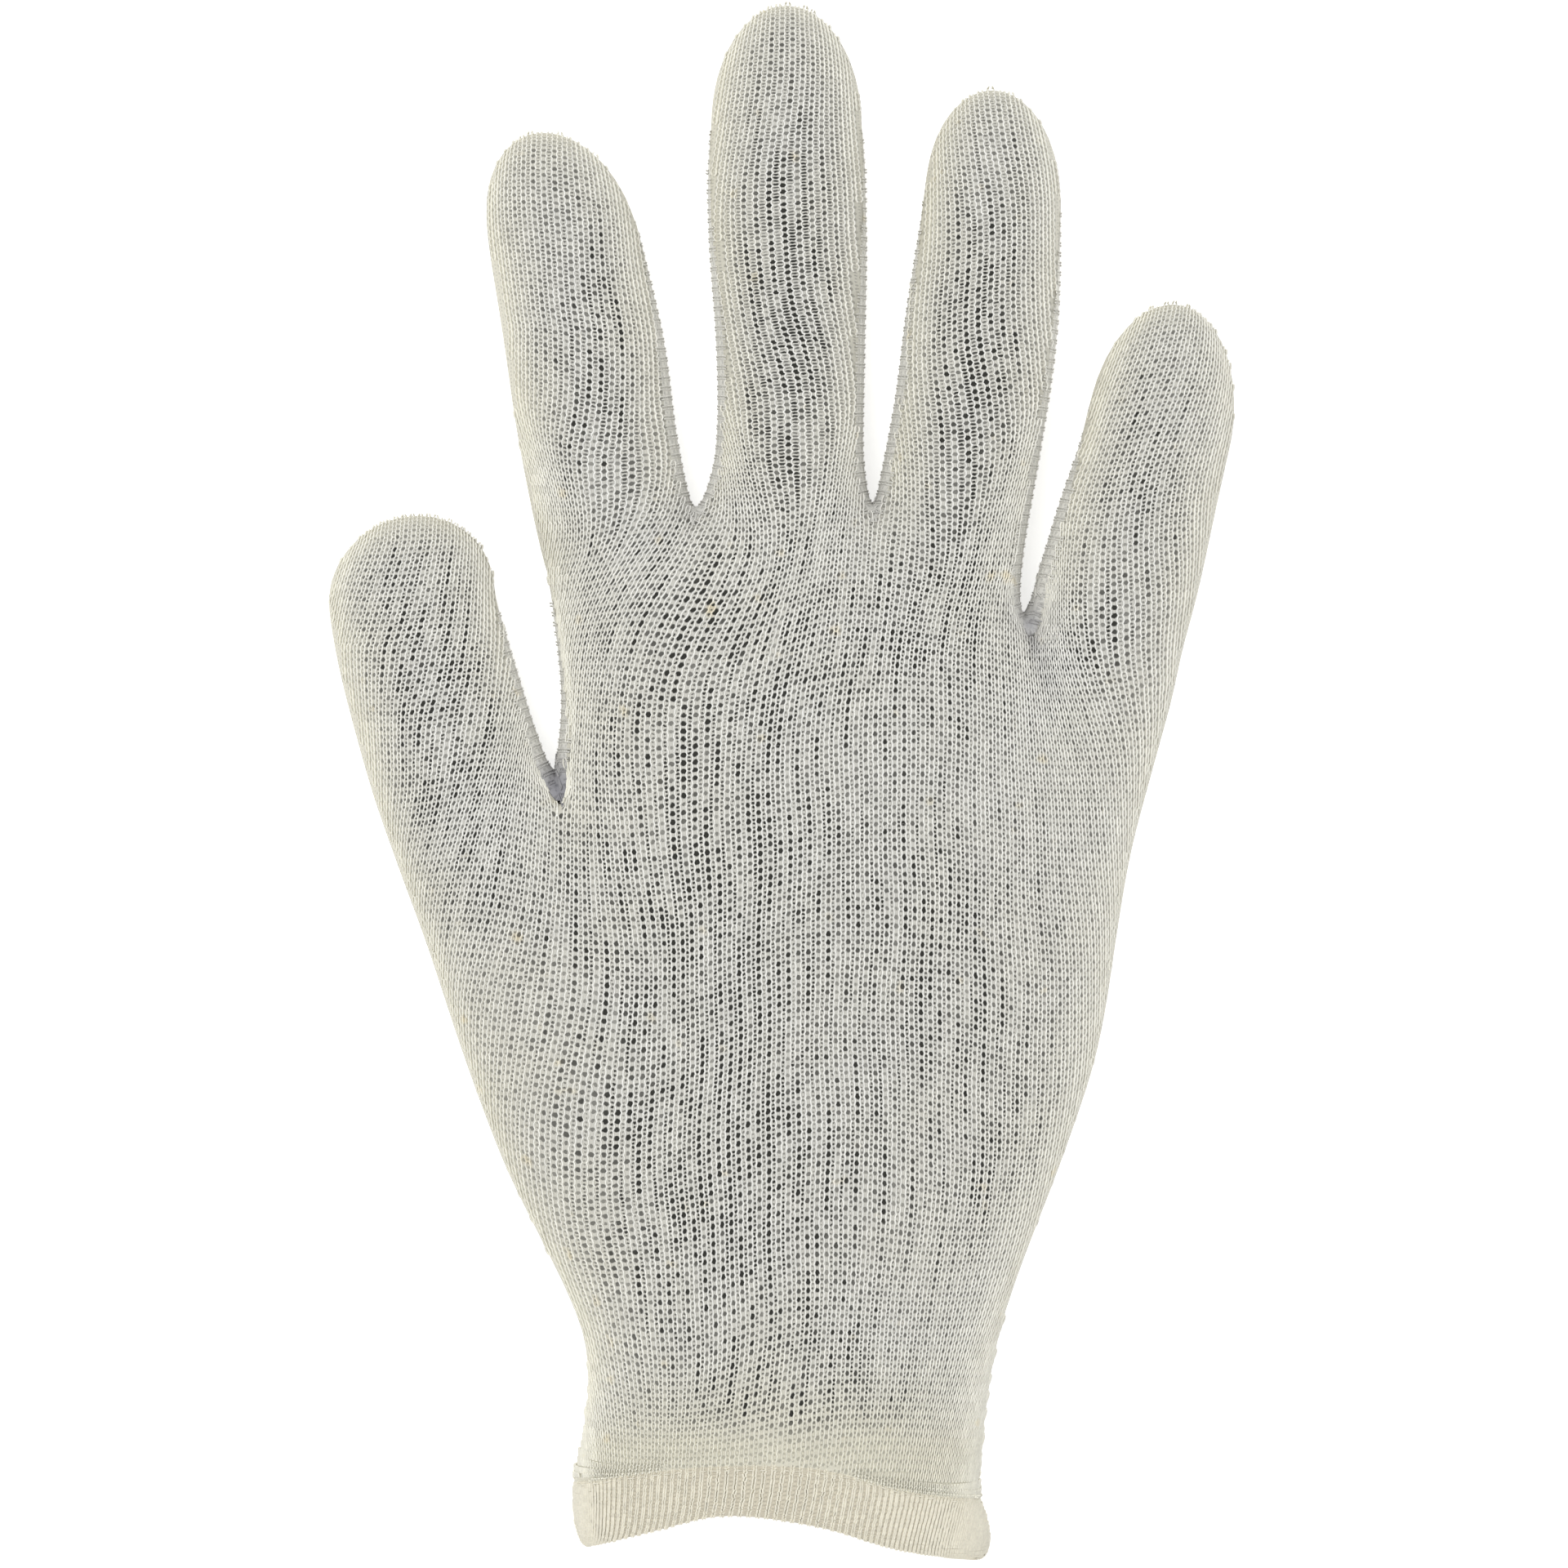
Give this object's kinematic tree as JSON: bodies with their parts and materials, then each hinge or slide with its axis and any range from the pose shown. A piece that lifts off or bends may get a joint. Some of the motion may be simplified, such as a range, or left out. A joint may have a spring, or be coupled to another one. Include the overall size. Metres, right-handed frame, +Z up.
{
  "type": "cotton knit glove",
  "caption": "Thin cotton rib-knit work glove for a right hand, full-fingered, with fork gussets and a plain folded hem at the open wrist.",
  "frame": {"origin": "on the surface the glove lies on, under the middle of its outline", "axes": "+X towards the little finger, +Y towards the fingertips, +Z up out of the back of the hand"},
  "size_m": [0.1452, 0.249, 0.0239],
  "materials": {
    "cotton_rib_knit": "natural unbleached cotton, fine 1x1 rib knit, matt",
    "cotton_gusset_knit": "the same knit with its ribs running across the strip, matt",
    "cotton_hem_knit": "the same knit folded double and stitched, matt"
  },
  "bodies": {
    "root": {"back_panel": "cotton_rib_knit", "palm_panel": "cotton_rib_knit", "gusset_thumb_index": "cotton_gusset_knit", "gusset_index_middle": "cotton_gusset_knit", "gusset_middle_ring": "cotton_gusset_knit", "gusset_ring_little": "cotton_gusset_knit", "cuff_hem": "cotton_hem_knit"}
  },
  "joints": []
}
